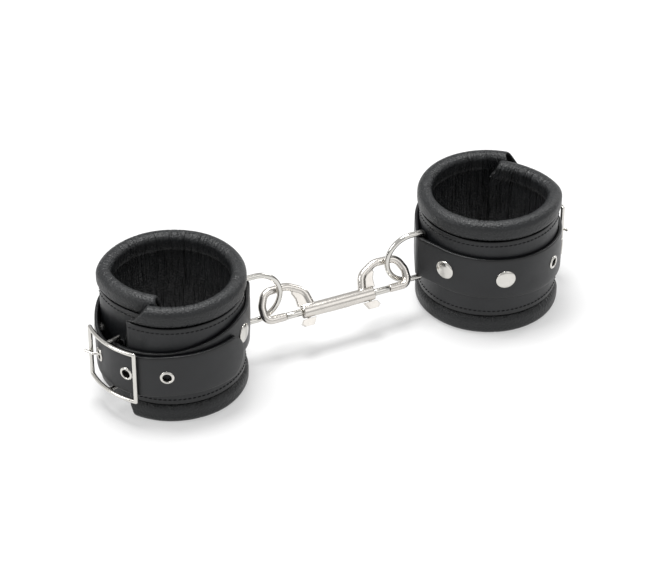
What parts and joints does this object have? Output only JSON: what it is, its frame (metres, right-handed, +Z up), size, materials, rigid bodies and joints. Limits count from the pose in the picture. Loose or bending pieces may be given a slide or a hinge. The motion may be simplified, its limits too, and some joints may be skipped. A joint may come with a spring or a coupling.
{
  "type": "padded leather wrist cuffs with bolt snap",
  "caption": "Pair of padded, buckled leather wrist cuffs, each with a D-ring, joined by a double-ended bolt snap with sprung sliding bolts.",
  "frame": {"origin": "on the floor, at the centre of the bounding box, midway between the two cuffs", "axes": "+X from the left cuff to the right cuff, +Z up along the axes of the cuffs"},
  "size_m": [0.295, 0.0896, 0.074],
  "materials": {
    "garment_leather": "fine grained garment leather, semi-gloss, puckered at the rolls",
    "bridle_leather": "smooth dyed leather, semi-matte, burnished edges",
    "foam": "open-cell foam, hidden",
    "thread": "waxed black thread",
    "nickel": "polished nickel plate",
    "cast_nickel": "satin nickel plate over a casting",
    "spring_steel": "spring wire, hidden"
  },
  "bodies": {
    "cuff_left": {"lining_left": "garment_leather", "foam_core_left": "foam", "outer_panel_left": "bridle_leather", "stitching_left": "thread", "strap_left": "bridle_leather", "rivets_left": "nickel", "eyelets_left": "nickel"},
    "buckle_left": {"buckle_frame_left": "nickel"},
    "prong_left": {"buckle_prong_left": "nickel"},
    "d_ring_left": {"d_ring_left": "nickel"},
    "bolt_left": {"bolt_left": "nickel", "thumb_knob_left": "cast_nickel"},
    "cuff_right": {"lining_right": "garment_leather", "foam_core_right": "foam", "outer_panel_right": "bridle_leather", "stitching_right": "thread", "strap_right": "bridle_leather", "rivets_right": "nickel", "eyelets_right": "nickel"},
    "buckle_right": {"buckle_frame_right": "nickel"},
    "prong_right": {"buckle_prong_right": "nickel"},
    "d_ring_right": {"d_ring_right": "nickel"},
    "bolt_right": {"bolt_right": "nickel", "thumb_knob_right": "cast_nickel"},
    "snap": {"snap_body": "cast_nickel", "bolt_spring_left": "spring_steel", "bolt_spring_right": "spring_steel"}
  },
  "joints": [
    {"name": "d_ring_left_swing", "type": "hinge", "parent": "cuff_left", "child": "d_ring_left", "pos_m": [-0.0556, 0, 0.0395], "axis": [0, 0, 1], "range_deg": [-45, 45]},
    {"name": "snap_swing", "type": "hinge", "parent": "d_ring_left", "child": "snap", "pos_m": [-0.0479, 0, 0.0395], "axis": [0, -1, 0], "range_deg": [-12, 50]},
    {"name": "d_ring_right_link", "type": "hinge", "parent": "snap", "child": "d_ring_right", "pos_m": [0.0479, 0, 0.0395], "axis": [0, -1, 0], "range_deg": [-12, 50]},
    {"name": "cuff_right_swing", "type": "hinge", "parent": "d_ring_right", "child": "cuff_right", "pos_m": [0.0556, 0, 0.0395], "axis": [0, 0, 1], "range_deg": [-45, 45]},
    {"name": "bolt_left_slide", "type": "slide", "parent": "snap", "child": "bolt_left", "axis": [1, 0, 0], "range_m": [0, 0.011], "stiffness_N_per_m": 300, "springref_m": -0.012, "deforming": ["bolt_spring_left"]},
    {"name": "buckle_left_rock", "type": "hinge", "parent": "cuff_left", "child": "buckle_left", "pos_m": [-0.13302, -0.0124, 0.0322], "axis": [0, 0, 1], "range_deg": [-0.8, 0.8]},
    {"name": "prong_left_lift", "type": "hinge", "parent": "buckle_left", "child": "prong_left", "pos_m": [-0.13302, -0.0124, 0.0322], "axis": [0, 0, 1], "range_deg": [0, 0.6]},
    {"name": "bolt_right_slide", "type": "slide", "parent": "snap", "child": "bolt_right", "axis": [-1, 0, 0], "range_m": [0, 0.011], "stiffness_N_per_m": 300, "springref_m": -0.012, "deforming": ["bolt_spring_right"]},
    {"name": "buckle_right_rock", "type": "hinge", "parent": "cuff_right", "child": "buckle_right", "pos_m": [0.13302, 0.0124, 0.0322], "axis": [0, 0, 1], "range_deg": [-0.8, 0.8]},
    {"name": "prong_right_lift", "type": "hinge", "parent": "buckle_right", "child": "prong_right", "pos_m": [0.13302, 0.0124, 0.0322], "axis": [0, 0, 1], "range_deg": [0, 0.6]}
  ]
}
